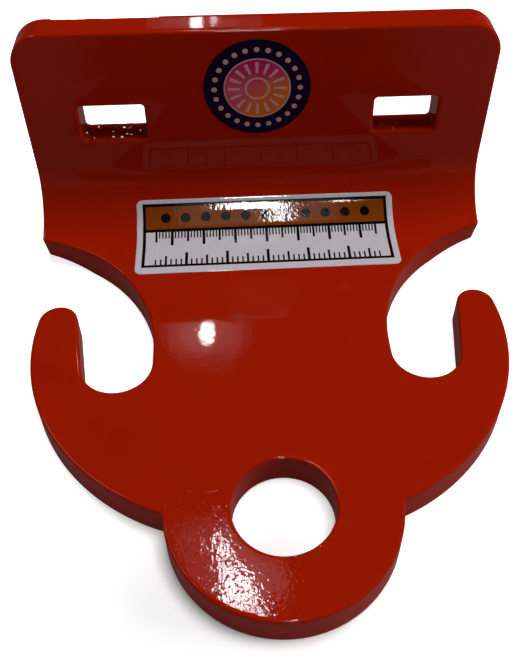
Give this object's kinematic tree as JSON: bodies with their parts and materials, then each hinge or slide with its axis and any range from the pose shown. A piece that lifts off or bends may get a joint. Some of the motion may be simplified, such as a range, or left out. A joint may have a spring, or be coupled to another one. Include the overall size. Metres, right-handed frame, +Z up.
{
  "type": "mower trailer hitch plate",
  "caption": "Bent steel hitch plate with a tow hole in a round nose, a chain hook on each side and an upright slotted mounting flange.",
  "frame": {"origin": "under the middle of the plate's box, on the plane of the tongue's underside", "axes": "+X across the plate to the right, +Y from the nose towards the flange, +Z up"},
  "size_m": [0.1396, 0.1472, 0.0735],
  "materials": {
    "plate_paint": "gloss red enamel over cut steel plate",
    "round_vinyl": "gloss printed vinyl, dark blue ring round a warm disc",
    "label_vinyl": "gloss printed vinyl, pale field and orange band in a black frame"
  },
  "bodies": {
    "root": {"hitch_plate": "plate_paint", "round_decal": "round_vinyl", "label": "label_vinyl"}
  },
  "joints": []
}
